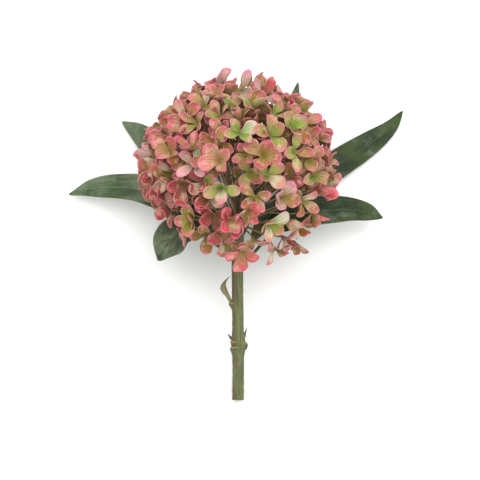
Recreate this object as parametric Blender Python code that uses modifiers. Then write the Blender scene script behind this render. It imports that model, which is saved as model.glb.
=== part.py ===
"""Cut hydrangea stem lying on a surface: a bare stem, six leaves and a globe of four-sepal florets.

Everything is modelled in the stem's own terms: +X across it, +Y along it from the cut end, and
+Z toward an eye that looks square on to it. An empty then tips the whole stem, so that the cut
end and the underside of the globe both rest on z = 0. Lengths are in metres, angles in degrees.
"""

from collections import namedtuple
from math import asin, atan2, cos, exp, pi, radians, sin, sqrt

import bmesh
import bpy
from mathutils import Matrix, Vector

MM = 0.001

# Stem
STEM_LENGTH = 0.133            # cut end to the boss that the flower stalks spring from
STEM_DIAMETER = 0.0086
BOSS_DIAMETER = 0.0136
JOINT_ALONG = 0.043            # swollen joint low on the stem
JOINT_SWELL = 0.0011
JOINT_SPREAD = 0.006

# Globe of florets
HEAD_RADIUS = 0.075            # centre of the globe to the outermost sepal tips
HEAD_LIFT = 0.038              # boss to the centre of the globe
HEAD_SAG = 0.011               # how far the globe flattens under its own weight as it lies
UNDERSIDE_CLEARANCE = 0.0055   # room under the florets for the leaves that the globe lies on
FACING_SHARE = 0.30            # how far the front florets turn from straight outward to the eye
LEAST_DEPTH = 0.22             # nearest a front floret comes to the stem's level, as a radius share

# Florets
SEPAL_REACH = 0.0142           # floret's centre to the tip of a sepal
SEPAL_THICKNESS = 0.0006
SEPAL_CUP = 0.22               # rise of a sepal's tip as a share of its reach
OUTLINE = (0.30, 0.80, 1.0, 0.80)   # reach at a notch, a shoulder, the tip and a shoulder
TRUNK_DIAMETER = 0.0015
PEDICEL_DIAMETER = 0.0010
FORK_SHARE = 0.42              # where a cluster's stalk divides, along its first floret's line

# Leaves
LEAF_THICKNESS = 0.0009
PETIOLE_DIAMETER = 0.0024
LEAF_FULLNESS = 0.8             # below 1 the blade stays broad nearer to its ends
LEAF_FOLD = 0.16               # rise of the blade's edges over its midrib
LEAF_SECTIONS = 13
LEAF_SIDES = 8

# Neighbours that touch keep this gap
GAP = 0.0003

# Clusters on the side toward the eye. A floret is (right, up, spin, size): its place on the globe
# as percentages of the globe's radius, the turn of its sepals, and its reach as a percentage.
FRONT_CLUSTERS = (
    ("sepal_rose", ((-24, 74, 25, 100), (-36, 72, 60, 90), (-9, 64, 37, 95), (-19, 58, 10, 85))),
    ("sepal_rose", ((14, 65, 35, 95), (4, 85, 60, 100), (25, 79, 60, 100))),
    ("sepal_pink", ((-43, 50, 50, 95), (-54, 58, 20, 95), (-57, 42, 70, 85))),
    ("sepal_pink", ((-72, 21, 55, 100), (-76, 37, 5, 100), (-50, 22, 60, 90))),
    ("sepal_pink", ((-73, -6, 30, 100), (-90, 6, 17, 95), (-85, -12, 60, 85), (-77, -22, 40, 90))),
    ("sepal_olive", ((-45, 5, 48, 100), (-56, -15, 4, 90), (-38, -13, 30, 85))),
    ("sepal_pink", ((-18, 9, 28, 112), (-21, 26, 70, 95), (-14, 42, 40, 95), (2, 38, 29, 100))),
    ("sepal_pink", ((25, 14, 68, 115), (30, -6, 42, 95), (33, 36, 8, 100))),
    ("sepal_rose", ((49, 63, 30, 95), (37, 61, 60, 85), (55, 43, 53, 105))),
    ("sepal_pink", ((70, 51, 15, 95), (70, 35, 40, 95), (84, 34, 5, 90))),
    ("sepal_green", ((58, 20, 0, 95), (73, 14, 33, 90), (90, 13, 20, 85), (77, -6, 17, 95))),
    ("sepal_pink", ((64, -29, 45, 100), (84, -24, -10, 95), (78, -43, 39, 95))),
    ("sepal_rose", ((18, -27, 28, 95), (43, -27, 70, 105))),
    ("sepal_green", ((50, -49, 35, 95), (31, -54, 55, 100), (66, -58, 7, 85))),
    ("sepal_olive", ((50, -72, 20, 75), (40, -84, 50, 80), (63, -78, 10, 75))),
    ("sepal_pink", ((3, -56, 60, 90), (4, -77, -5, 105))),
    ("sepal_green", ((-25, -45, 20, 95), (-17, -18, 8, 100), (-31, -29, 50, 85))),
    ("sepal_olive", ((-47, -50, 85, 95), (-31, -65, 5, 100), (-71, -39, 30, 95))),
)

# Rows of florets on the side toward the surface: distance from the globe's back pole in degrees,
# then the first and last bearing round it and how many florets share the arc.
UNDERSIDE_ROWS = (
    (100, 22, 158, 8),
    (74, -8, 188, 11),
    (47, 8, 172, 7),
    (20, 62, 118, 2),
)
UNDERSIDE_SHARE = 2            # florets to a cluster there
SHELL_SHARE = 0.93             # floret centres from the globe's centre, as a share of its radius

# Leaves: width, belly (over 1 puts the widest place nearer to the tip), length of the petiole,
# bearing round the stem (0 right, 90 toward the eye), distance below the boss, roll of the blade,
# colour, then the midrib. The leaves pass under the globe, so the midrib's
# places across the stem, beyond the boss and above the surface are percentages of its radius.
Leaf = namedtuple("Leaf", "name width belly petiole bearing drop roll colour midrib")
LEAVES = (
    Leaf("leaf_left", 0.026, 0.8, 0.034, 180, 0.026, 12, "leaf_green",
         ((-32, -8, 50), (-61, 19, 40), (-91, 32, 31), (-120, 36, 23), (-149, 35, 15), (-172, 29, 8))),
    Leaf("leaf_right", 0.023, 0.8, 0.042, 0, 0.026, -10, "leaf_dark",
         ((35, -11, 51), (67, 8, 43), (104, 13, 32), (128, 11, 25), (146.5, 5, 21))),
    Leaf("leaf_upper_left", 0.025, 0.8, 0.034, 220, 0.019, 0, "leaf_green",
         ((-27, 12, 25), (-56, 44, 4), (-80, 72, 1.9), (-101, 92, 1.9), (-119, 104, 2.4))),
    Leaf("leaf_upper_right", 0.022, 0.8, 0.036, 328, 0.019, 0, "leaf_dark",
         ((32, 6.7, 31), (67, 35, 4.3), (101, 59, 2.7), (133, 80, 2.1), (155, 97, 2.4), (169, 115, 3.2))),
    Leaf("leaf_lower_left", 0.031, 1.3, 0.023, 148, 0.019, 20, "leaf_pale",
         ((-27, -9, 62), (-51, -8, 60), (-69, -20, 53), (-80, -38, 44))),
    Leaf("leaf_back", 0.018, 0.8, 0.030, 277, 0.012, 0, "leaf_green",
         ((5, 8, 24), (17, 36, 3.5), (36, 73, 1.5), (54, 114, 1.5), (62, 145, 2.4))),
)

# Small growths on the stem: width, bearing, height along the stem, colour, and a midrib as
# millimetres across, along and toward the eye from where each leaves the bark.
Shoot = namedtuple("Shoot", "name width bearing along colour midrib")
SHOOTS = (
    Shoot("young_leaf", 0.0050, 180, 0.0735, "young_leaf",
          ((-4.5, 2.5, 0.6), (-7.6, 8, 1.0), (-7.4, 13.5, 1.4), (-4.0, 18.5, 1.6), (-2.4, 19.5, 1.4))),
    Shoot("bud_left", 0.0022, 175, 0.0475, "bark",
          ((-1.4, 0.8, 0), (-2.4, 2.6, 0.2), (-3.1, 4.6, 0.4))),
    Shoot("bud_right", 0.0022, 15, 0.0475, "bark",
          ((1.4, 1.0, 0), (2.2, 3.2, 0.2), (2.3, 6.6, 0.4))),
    Shoot("bud_scale", 0.0026, 350, 0.0385, "bark",
          ((1.5, 0.5, 0), (2.8, 2.0, 0.1), (3.0, 3.6, 0.2))),
)

COLOURS = {
    "bark": (0.17, 0.20, 0.095),
    "leaf_green": (0.085, 0.125, 0.065),
    "leaf_dark": (0.045, 0.080, 0.036),
    "leaf_pale": (0.130, 0.180, 0.110),
    "young_leaf": (0.22, 0.17, 0.09),
    "sepal_pink": (0.60, 0.16, 0.17),
    "sepal_rose": (0.55, 0.21, 0.17),
    "sepal_olive": (0.40, 0.25, 0.13),
    "sepal_green": (0.45, 0.45, 0.20),
}

# The globe's centre and the point that its stalks radiate from, in the stem's own terms
HEAD_CENTRE = Vector((0, STEM_LENGTH + HEAD_LIFT, 0))
APEX = Vector((0, STEM_LENGTH, 0))
TILT = asin((HEAD_RADIUS - HEAD_SAG - STEM_DIAMETER / 2) / HEAD_CENTRE.y)
SURFACE_UP = Vector((0, sin(TILT), cos(TILT)))
TOWARD_EYE = Vector((0, 0, 1))
STEM_LIFT = STEM_DIAMETER / 2 * cos(TILT)   # the origin's height once the cut end rests

Floret = namedtuple("Floret", "centre facing spin reach direction")


def clear_scene():
    for old in list(bpy.data.objects):
        bpy.data.objects.remove(old)


def new_collection(name):
    collection = bpy.data.collections.new(name)
    bpy.context.scene.collection.children.link(collection)
    return collection


def new_material(name, colour):
    material = bpy.data.materials.new(name)
    material.use_nodes = True
    shader = material.node_tree.nodes["Principled BSDF"]
    shader.inputs["Base Color"].default_value = (*colour, 1)
    shader.inputs["Roughness"].default_value = 0.6
    shader.inputs["Metallic"].default_value = 0
    return material


def add_object(name, bm, material, collection, parent):
    """Turn a bmesh into a smooth-shaded object."""
    mesh = bpy.data.meshes.new(name)
    bm.to_mesh(mesh)
    bm.free()
    mesh.shade_smooth()
    mesh.set_sharp_from_angle(angle=radians(50))
    mesh.materials.append(material)
    piece = bpy.data.objects.new(name, mesh)
    piece.parent = parent
    collection.objects.link(piece)
    return piece


def height_over_surface(point):
    return STEM_LIFT + point.dot(SURFACE_UP)


def laid(across, along, height):
    """The point seen at (across, along) square on to the stem, at a height over the surface."""
    toward = (height - STEM_LIFT - along * SURFACE_UP.y) / SURFACE_UP.z
    return Vector((across, along, toward))


# Stem

def stem_radius(along):
    """Radius of the bark, swollen at the low joint."""
    swell = JOINT_SWELL * exp(-((along - JOINT_ALONG) / JOINT_SPREAD) ** 2)
    return STEM_DIAMETER / 2 + swell


def stem_profile():
    """Outer side of the stem from the top of its round boss down to the cut end, as x and y."""
    boss = BOSS_DIAMETER / 2
    neck = asin(STEM_DIAMETER / 2 / boss)
    points = []
    for step in range(7):
        angle = (pi - neck) * step / 6
        points.append((boss * sin(angle), STEM_LENGTH + boss * cos(angle)))
    rings = 20
    top = points[-1][1] - boss / 2
    for ring in range(rings + 1):
        along = top * (1 - ring / rings)
        points.append((stem_radius(along), along))
    points.append((0, 0))
    return points


def build_stem(material, collection, parent):
    bm = bmesh.new()
    verts = [bm.verts.new((x, y, 0)) for x, y in stem_profile()]
    for upper, lower in zip(verts, verts[1:]):
        bm.edges.new((upper, lower))
    stem = add_object("main_stem", bm, material, collection, parent)
    turn = stem.modifiers.new("turn", "SCREW")
    turn.axis = "Y"
    turn.steps = 16
    turn.render_steps = 16
    turn.use_merge_vertices = True
    turn.merge_threshold = 0.00001
    turn.use_normal_calculate = True


# Leaves and shoots

def smooth_route(points, count):
    """Evenly numbered points along a Catmull-Rom curve through the given ones."""
    ends = [2 * points[0] - points[1], *points, 2 * points[-1] - points[-2]]
    spans = len(points) - 1
    route = []
    for step in range(count):
        place = spans * step / (count - 1)
        span = min(int(place), spans - 1)
        t = place - span
        a, b, c, d = ends[span:span + 4]
        route.append(0.5 * (2 * b + (c - a) * t + (2 * a - 5 * b + 4 * c - d) * t ** 2
                            + (3 * b - a - 3 * c + d) * t ** 3))
    return route


def half_width(share, width, belly, neck_share, neck):
    """Half the blade's width at a share of the length, over the petiole's own half width."""
    if share < neck_share:
        return neck
    along_blade = (share - neck_share) / (1 - neck_share)
    return neck * (1 - 0.7 * along_blade) + width / 2 * sin(pi * along_blade ** belly) ** LEAF_FULLNESS


def loft_blade(route, width, belly, neck_share, neck, thickness, roll, up):
    """A closed blade: flat oval sections strung along a midrib, round where it is a stalk."""
    bm = bmesh.new()
    rings = []
    last = len(route) - 1
    for index, centre in enumerate(route):
        heading = route[min(index + 1, last)] - route[max(index - 1, 0)]
        side = Matrix.Rotation(radians(roll), 3, heading) @ heading.cross(up).normalized()
        top = side.cross(heading).normalized()
        half = half_width(index / last, width, belly, neck_share, neck)
        blade_share = min(1, max(0, (half - neck) / (4 * neck)))
        deep = neck + (thickness / 2 - neck) * blade_share
        if index == last:
            deep = thickness / 4
        ring = []
        for corner in range(LEAF_SIDES):
            angle = 2 * pi * corner / LEAF_SIDES
            out = half * cos(angle)
            rise = deep * sin(angle) + LEAF_FOLD * abs(out) * blade_share
            ring.append(bm.verts.new(centre + side * out + top * rise))
        rings.append(ring)
    for near, far in zip(rings, rings[1:]):
        for corner in range(LEAF_SIDES):
            after = (corner + 1) % LEAF_SIDES
            bm.faces.new((near[corner], near[after], far[after], far[corner]))
    bm.faces.new(rings[0])
    bm.faces.new(rings[-1])
    bmesh.ops.recalc_face_normals(bm, faces=bm.faces[:])
    return bm


def bark_point(bearing, along, clearance):
    """A point off the bark, and the way out of the stem there."""
    out = Vector((cos(radians(bearing)), 0, sin(radians(bearing))))
    return out * (stem_radius(along) + clearance) + Vector((0, along, 0)), out


def build_leaf(leaf, material, collection, parent):
    slant_room = PETIOLE_DIAMETER / 3
    base, out = bark_point(leaf.bearing, STEM_LENGTH - leaf.drop, GAP + slant_room)
    midrib = [base, base + out * 0.004]
    for point in leaf.midrib:
        across, beyond, height = Vector(point) * HEAD_RADIUS / 100
        midrib.append(laid(across, STEM_LENGTH + beyond, height))
    route = smooth_route(midrib, LEAF_SECTIONS)
    length = sum((after - before).length for before, after in zip(route, route[1:]))
    bm = loft_blade(route, leaf.width, leaf.belly, leaf.petiole / length, PETIOLE_DIAMETER / 2,
                    LEAF_THICKNESS, leaf.roll, SURFACE_UP)
    add_object(leaf.name, bm, material, collection, parent)


def build_shoot(shoot, material, collection, parent):
    base, out = bark_point(shoot.bearing, shoot.along, GAP)
    midrib = [base, base + out * 0.0008]
    for across, along, toward in shoot.midrib:
        midrib.append(base + Vector((across, along, toward)) * MM)
    route = smooth_route(midrib, 9)
    bm = loft_blade(route, shoot.width, 0.8, 0.05, 0.0006, 0.0009, 0, TOWARD_EYE)
    add_object(shoot.name, bm, material, collection, parent)


# Florets

def new_floret(centre, facing, spin, reach):
    return Floret(centre, facing.normalized(), spin, reach, (centre - APEX).normalized())


def front_floret(right, up, spin, size):
    """A floret on the side toward the eye, from percentages of the globe's radius."""
    x = right / 100
    y = up / 100
    depth = sqrt(max(LEAST_DEPTH ** 2, SHELL_SHARE ** 2 - x * x - y * y))
    outward = Vector((x, y, depth))
    facing = outward.normalized() * (1 - FACING_SHARE) + TOWARD_EYE * FACING_SHARE
    return new_floret(HEAD_CENTRE + outward * HEAD_RADIUS, facing, spin, SEPAL_REACH * size / 100)


def underside_floret(polar, bearing, spin):
    """A floret toward the surface, pushed up where the globe lies on its leaves."""
    ring = sin(radians(polar))
    outward = Vector((ring * cos(radians(bearing)), ring * sin(radians(bearing)),
                      -cos(radians(polar))))
    centre = HEAD_CENTRE + outward * HEAD_RADIUS * SHELL_SHARE
    lowest = UNDERSIDE_CLEARANCE + 2 * SEPAL_CUP * SEPAL_REACH
    squash = max(0.0, lowest - height_over_surface(centre))
    return new_floret(centre + SURFACE_UP * squash, outward, spin, SEPAL_REACH)


def underside_clusters():
    """The underside's florets, a few neighbours at a time along each row."""
    clusters = []
    for polar, first, last, count in UNDERSIDE_ROWS:
        row = []
        for place in range(count):
            bearing = first + (last - first) * place / (count - 1)
            row.append(underside_floret(polar, bearing, 37 * place + polar))
        for start in range(0, count, UNDERSIDE_SHARE):
            clusters.append(("sepal_olive", row[start:start + UNDERSIDE_SHARE]))
    return clusters


def own_space(floret, florets):
    """Flat walls round a floret as (inward normal, point on the wall, clearance).

    The walls between two florets pass through the apex, midway between their stalks' directions.
    The last one is the level that the underside keeps over the surface.
    """
    walls = []
    for other in florets:
        if other is floret:
            continue
        inward = (floret.direction - other.direction).normalized()
        walls.append((inward, APEX, SEPAL_THICKNESS + GAP / 2))
    level = laid(0, HEAD_CENTRE.y, UNDERSIDE_CLEARANCE)
    walls.append((SURFACE_UP, level, SEPAL_THICKNESS))
    return walls


def spoke_share(spoke, floret, walls):
    """How much of a spoke from the floret's centre, at most all, stays inside its own space."""
    share = 1.0
    for inward, on_wall, clearance in walls:
        step = spoke.dot(inward)
        room = (floret.centre - on_wall).dot(inward) - clearance
        if room + step < 0:
            share = min(share, room / -step)
    return share


def sepal_spokes(floret, florets):
    """Spokes from the floret's centre to its outline, each as long as its neighbours allow."""
    walls = own_space(floret, florets)
    turn = TOWARD_EYE.rotation_difference(floret.facing).to_matrix()
    sides = 4 * len(OUTLINE)
    spokes = []
    for index in range(sides):
        angle = 2 * pi * index / sides + radians(floret.spin)
        share = OUTLINE[(index + 2) % len(OUTLINE)]
        reach = floret.reach * share
        spoke = turn @ Vector((reach * cos(angle), reach * sin(angle), reach * share * SEPAL_CUP))
        spokes.append(spoke * spoke_share(spoke, floret, walls))
    return spokes


def floret_shell(floret, florets):
    """Four cupped sepals round a centre, as one thin closed shell."""
    spokes = sepal_spokes(floret, florets)
    bm = bmesh.new()
    bmesh.ops.create_circle(bm, cap_ends=True, cap_tris=True, segments=len(spokes), radius=1)
    for vert in bm.verts:
        index = round(atan2(vert.co.y, vert.co.x) / (2 * pi) * len(spokes)) % len(spokes)
        vert.co = floret.centre + spokes[index] * vert.co.length
    bm.normal_update()
    bmesh.ops.solidify(bm, geom=bm.faces[:], thickness=SEPAL_THICKNESS)
    bmesh.ops.recalc_face_normals(bm, faces=bm.faces[:])
    return bm


def add_stalk(bm, start, end, wide, narrow):
    """A tapered stalk between two points."""
    run = end - start
    turn = run.to_track_quat("Z", "Y").to_matrix().to_4x4()
    bmesh.ops.create_cone(bm, cap_ends=True, segments=5, radius1=wide / 2, radius2=narrow / 2,
                          depth=run.length, matrix=Matrix.Translation((start + end) / 2) @ turn)


def cluster_stalks(cluster):
    """One stalk from the boss that forks into a pedicel for each floret."""
    bm = bmesh.new()
    leader = cluster[0]
    start = APEX + leader.direction * (BOSS_DIAMETER / 2 + GAP)
    fork = start.lerp(leader.centre, FORK_SHARE)
    overlap = PEDICEL_DIAMETER / 2
    add_stalk(bm, start, fork + leader.direction * overlap, TRUNK_DIAMETER, TRUNK_DIAMETER)
    for floret in cluster:
        inside_shell = floret.centre - floret.facing * SEPAL_THICKNESS / 2
        add_stalk(bm, fork, inside_shell, PEDICEL_DIAMETER * 1.2, PEDICEL_DIAMETER)
    return bm


def build_cluster(name, cluster, florets, material, groups, parent):
    """A forked stalk joined to its florets, as one solid."""
    parts, cutters = groups
    shells = bmesh.new()
    for floret in cluster:
        surface = floret_shell(floret, florets)
        mesh = bpy.data.meshes.new("floret")
        surface.to_mesh(mesh)
        surface.free()
        shells.from_mesh(mesh)
        bpy.data.meshes.remove(mesh)
    sepals = add_object(name + "_sepals", shells, material, cutters, parent)
    sepals.hide_render = True
    sepals.display_type = "WIRE"
    piece = add_object(name, cluster_stalks(cluster), material, parts, parent)
    join = piece.modifiers.new("join", "BOOLEAN")
    join.operation = "UNION"
    join.object = sepals
    join.use_self = True


# Assembly

def centre_over_origin(root, collection):
    """Slide the tipped stem so that its box stands centred on the origin."""
    bpy.context.view_layer.update()
    graph = bpy.context.evaluated_depsgraph_get()
    low = Vector((1, 1, 1))
    high = -low
    for piece in collection.objects:
        if piece.type != "MESH":
            continue
        mesh = piece.evaluated_get(graph).to_mesh()
        for vert in mesh.vertices:
            place = piece.matrix_world @ vert.co
            low = Vector(map(min, low, place))
            high = Vector(map(max, high, place))
        piece.evaluated_get(graph).to_mesh_clear()
    root.location -= Vector(((low.x + high.x) / 2, (low.y + high.y) / 2, low.z))


def build():
    clear_scene()
    parts = new_collection("cut_hydrangea")
    cutters = new_collection("cutters")
    root = bpy.data.objects.new("cut_hydrangea", None)
    root.rotation_euler = (TILT, 0, 0)
    root.location = (0, 0, STEM_LIFT)
    parts.objects.link(root)
    materials = {name: new_material(name, colour) for name, colour in COLOURS.items()}

    build_stem(materials["bark"], parts, root)
    for leaf in LEAVES:
        build_leaf(leaf, materials[leaf.colour], parts, root)
    for shoot in SHOOTS:
        build_shoot(shoot, materials[shoot.colour], parts, root)

    clusters = [(colour, [front_floret(*floret) for floret in florets])
                for colour, florets in FRONT_CLUSTERS]
    clusters += underside_clusters()
    florets = [floret for _, cluster in clusters for floret in cluster]
    for number, (colour, cluster) in enumerate(clusters, 1):
        build_cluster(f"floret_cluster_{number:02d}", cluster, florets, materials[colour],
                      (parts, cutters), root)
    centre_over_origin(root, parts)


build()
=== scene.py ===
"""The looks of a cut hydrangea stem that lies on a pale surface: bark, leaves and a globe of florets."""

import random
from math import asin, atan2, cos, degrees, exp, pi, radians, sin, sqrt

import bmesh
import bpy
from mathutils import Matrix, Vector


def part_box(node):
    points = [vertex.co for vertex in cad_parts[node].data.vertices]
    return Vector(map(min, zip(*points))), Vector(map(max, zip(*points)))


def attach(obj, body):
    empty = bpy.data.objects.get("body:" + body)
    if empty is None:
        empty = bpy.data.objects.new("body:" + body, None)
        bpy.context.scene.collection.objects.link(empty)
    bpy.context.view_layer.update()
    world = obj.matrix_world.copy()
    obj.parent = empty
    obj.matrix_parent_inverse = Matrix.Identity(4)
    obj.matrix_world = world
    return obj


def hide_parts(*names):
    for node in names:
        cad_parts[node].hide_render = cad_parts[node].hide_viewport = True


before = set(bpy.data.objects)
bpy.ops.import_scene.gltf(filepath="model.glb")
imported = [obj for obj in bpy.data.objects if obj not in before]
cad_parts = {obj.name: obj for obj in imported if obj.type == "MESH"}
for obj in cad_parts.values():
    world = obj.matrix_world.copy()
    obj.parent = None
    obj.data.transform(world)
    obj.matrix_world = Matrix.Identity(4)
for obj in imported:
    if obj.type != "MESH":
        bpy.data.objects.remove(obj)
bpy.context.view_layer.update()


# --- Main stem ----------------------------------------------------------------------------------
# One green, half-woody shoot as thick as a pencil, grown as one piece. It was cut square, so its
# pale pith shows, and old leaves left scars and a swollen joint low down. Sun has browned one
# side. At the top it swells to a boss, out of which the flower stalks grow.

stem_length = 0.133
stem_diameter = 0.0086
boss_diameter = 0.0136
joint_along = 0.043
joint_swell = 0.0011
joint_spread = 0.006
ledge_along = 0.0385
ledge_step = 0.0010
ledge_taper = 0.0030
stem_bend = 0.00035
ridge_depth = 0.00012
bark_lumps = 0.00007
pith_share = 0.42
stem_sides = 48
stem_rings = 300
boss_rings = 18
boss_cap = 0.08
cut_bevel = 0.0004
# brown cork lies just above each scar, and the lip under it is paler: how far up, and how wide
cork_above = 0.0013
cork_width = 0.0010
lip_above = 0.0001
lip_width = 0.0005
# scars of old leaves and buds: where along the stem and round it (degrees), how proud, how far
# each reaches above and below, and how wide it is (degrees)
scars = (
    (0.0727, 176, 0.0027, 0.0008, 0.0036, 26),
    (0.0436, 156, 0.0008, 0.0008, 0.0014, 34),
    (0.0393, 150, 0.0012, 0.0006, 0.0030, 44),
    (0.0480, 6, 0.0010, 0.0008, 0.0011, 20),
    (0.0430, 6, 0.0012, 0.0008, 0.0032, 26),
)

# It is drawn flat, as a florist holds it: +X across it, +Y from the cut end to the flower and +Z
# toward the eye. It is then tipped so that the cut end and the heavy globe both touch the table.
# The globe flattens a little under its own weight.
head_radius = 0.075
head_lift = 0.038
head_sag = 0.011
head_centre = Vector((0, stem_length + head_lift, 0))
tilt = asin((head_radius - head_sag - stem_diameter / 2) / head_centre.y)
cut_height = stem_diameter / 2 * cos(tilt)
stem_low, stem_high = (Vector(corner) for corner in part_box("main_stem"))
cut_end = Vector(((stem_low.x + stem_high.x) / 2,
                  stem_high.y - boss_diameter / 2 - stem_length * cos(tilt),
                  cut_height))
lie = Matrix.Translation(cut_end) @ Matrix.Rotation(tilt, 4, "X")


def degrees_apart(bearing, scar_bearing):
    return (degrees(bearing) - scar_bearing + 180) % 360 - 180


def scar_height(along, bearing):
    """How far the old scars lift the bark here: steep above each, tapering away below it."""
    most = 0.0
    for scar_along, scar_bearing, proud, above, below, wide in scars:
        up = (along - scar_along) / (above if along > scar_along else below)
        turn = degrees_apart(bearing, scar_bearing)
        most = max(most, proud * exp(-up * up) * exp(-(turn / wide) ** 2))
    return most


def bark_radius(along):
    swell = joint_swell * exp(-((along - joint_along) / joint_spread) ** 2)
    return stem_diameter / 2 + swell


def bark_ring(along, radius, wobble):
    """One ring round the stem, ridged lengthwise, with the slight bends of a grown shoot."""
    bend = stem_bend * sin(along * 38 + 0.6) - stem_bend * sin(0.6)
    fade = min(1, along / 0.01) * min(1, max(0, (stem_length - 0.012 - along) / 0.01))
    ring = []
    for side in range(stem_sides):
        bearing = 2 * pi * side / stem_sides
        ridge = ridge_depth * (sin(5 * bearing + 9 * along) + 0.5 * sin(11 * bearing - 40 * along))
        lumps = wobble * (sin(3 * bearing + 410 * along) * sin(700 * along + 2 * sin(2 * bearing))
                          + sin(7 * bearing - 900 * along))
        far = radius + ridge + lumps + (scar_height(along, bearing) if wobble else 0)
        ring.append(Vector((far * cos(bearing) + bend * fade, along, far * sin(bearing))))
    return ring


def ledge(along):
    """The leaf scar's ledge: bark stands proud just under it and tapers away below."""
    below = ledge_along - along
    if below < 0:
        return 0.0
    return ledge_step * exp(-below / ledge_taper)


def ring_mesh(rings):
    """Skin rings of equally many points, as a tube or a blade, and close both ends."""
    bm = bmesh.new()
    grown = [[bm.verts.new(point) for point in ring] for ring in rings]
    count = len(rings[0])
    for near, far in zip(grown, grown[1:]):
        for side in range(count):
            after = (side + 1) % count
            bm.faces.new((near[side], near[after], far[after], far[side]))
    bm.faces.new(grown[0])
    bm.faces.new(grown[-1])
    bmesh.ops.recalc_face_normals(bm, faces=bm.faces[:])
    return bm


def place_piece(name, bm, material, slot, *nodes):
    """Finish a piece: lay it down with the stem and let it stand for its solids."""
    bm.transform(lie)
    mesh = bpy.data.meshes.new(name)
    bm.to_mesh(mesh)
    bm.free()
    mesh.shade_smooth()
    mesh.materials.append(material)
    piece = bpy.data.objects.new(name, mesh)
    bpy.context.scene.collection.objects.link(piece)
    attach(piece, "root")
    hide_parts(*nodes)
    return piece


def mark(piece, name, values):
    """Store one number a point, for the material to read."""
    layer = piece.data.attributes.new(name, "FLOAT", "POINT")
    layer.data.foreach_set("value", values)


def srgb(red, green, blue):
    """A colour as paint charts give it, 0 to 255, in the renderer's own terms."""
    linear = [((part / 255 + 0.055) / 1.055) ** 2.4 if part > 10 else part / 3294.6
              for part in (red, green, blue)]
    return (*linear, 1)


def add_node(tree, kind, inputs=(), **settings):
    """A shader node with its settings, and its inputs as values or as links from sockets."""
    made = tree.nodes.new(kind)
    for name, value in settings.items():
        setattr(made, name, value)
    for socket, value in dict(inputs).items():
        if isinstance(value, bpy.types.NodeSocket):
            tree.links.new(value, made.inputs[socket])
        else:
            made.inputs[socket].default_value = value
    return made


def maths(tree, operation, first, second=0.0, third=0.0):
    made = add_node(tree, "ShaderNodeMath", {0: first, 1: second, 2: third}, operation=operation)
    return made.outputs[0]


def ramp(tree, value, low, high, start=0.0, end=1.0):
    """Smooth step of a value from start at low to end at high."""
    made = add_node(tree, "ShaderNodeMapRange",
                    {0: value, 1: low, 2: high, 3: start, 4: end}, interpolation_type="SMOOTHSTEP")
    return made.outputs[0]


def blend_colours(tree, share, first, second, mode="MIX"):
    made = add_node(tree, "ShaderNodeMix", {0: share, 6: first, 7: second},
                    data_type="RGBA", blend_type=mode, clamp_factor=True)
    return made.outputs[2]


def stain(tree, mask, strength, base, colour):
    """Blend a colour in where the mask says, up to a strength."""
    return blend_colours(tree, maths(tree, "MULTIPLY", mask, strength), base, colour)


def read_mark(tree, name, output="Fac"):
    return add_node(tree, "ShaderNodeAttribute", attribute_name=name).outputs[output]


def grown_noise(tree, scale, detail=2.0, stretch=(1, 1, 1)):
    """Soft noise set square to the stem, which can be stretched along it."""
    place = add_node(tree, "ShaderNodeTexCoord").outputs["Object"]
    scaled = add_node(tree, "ShaderNodeMapping",
                      {"Vector": place, "Rotation": (tilt, 0, 0), "Scale": stretch},
                      vector_type="TEXTURE").outputs[0]
    made = add_node(tree, "ShaderNodeTexNoise",
                    {"Vector": scaled, "Scale": scale, "Detail": detail, "Roughness": 0.55})
    return made.outputs[0]


def new_material(name, roughness):
    """A material and its Principled shader."""
    material = bpy.data.materials.new(name)
    material.use_nodes = True
    shader = material.node_tree.nodes["Principled BSDF"]
    shader.inputs["Roughness"].default_value = roughness
    return material, material.node_tree, shader


def add_relief(tree, shader, height, depth):
    """Raise the surface by a height pattern, without changing its shape."""
    bump = add_node(tree, "ShaderNodeBump", {"Height": height, "Distance": depth, "Strength": 1.0})
    tree.links.new(bump.outputs[0], shader.inputs["Normal"])


rings = []
for radius_share, depth in ((0.05, 0.0006), (pith_share, 0.0005), (0.85, 0.0), (0.97, 0.0001)):
    rings.append(bark_ring(depth, stem_diameter / 2 * radius_share, 0))
neck = asin(stem_diameter / boss_diameter)
straight_top = stem_length - boss_diameter / 2 * cos(neck)
for step in range(stem_rings):
    along = cut_bevel + (straight_top - cut_bevel) * step / stem_rings
    rings.append(bark_ring(along, bark_radius(along) + ledge(along), bark_lumps))
for step in range(boss_rings):
    angle = neck + (pi - neck - boss_cap) * step / (boss_rings - 1)
    rings.append(bark_ring(stem_length - boss_diameter / 2 * cos(angle),
                           boss_diameter / 2 * sin(angle), 0))

bark, tree, shader = new_material("bark", 0.62)
grain = grown_noise(tree, 900, 4, (1, 16, 1))
blotch = grown_noise(tree, 110, 3, (1, 2, 1))
outside = blend_colours(tree, ramp(tree, grain, 0.3, 0.7), srgb(62, 70, 32), srgb(100, 108, 60))
dusty = ramp(tree, grown_noise(tree, 240, 5, (1, 2, 1)), 0.52, 0.66)
outside = stain(tree, dusty, 0.6, outside, srgb(114, 102, 74))
sunned = ramp(tree, blotch, 0.30, 0.62)
outside = stain(tree, sunned, read_mark(tree, "sunned"), outside, srgb(88, 62, 48))
lenticel = ramp(tree, grown_noise(tree, 1300, 1, (1, 3, 1)), 0.70, 0.78)
outside = stain(tree, lenticel, 0.55, outside, srgb(176, 160, 118))
cut_wood = blend_colours(tree, read_mark(tree, "pith"), srgb(104, 112, 66), srgb(196, 196, 150))
outside = blend_colours(tree, read_mark(tree, "scarred"), outside, srgb(92, 52, 34))
outside = blend_colours(tree, read_mark(tree, "lipped"), outside, srgb(148, 150, 96))
bark_colour = blend_colours(tree, read_mark(tree, "cut"), outside, cut_wood)
tree.links.new(bark_colour, shader.inputs["Base Color"])
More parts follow.
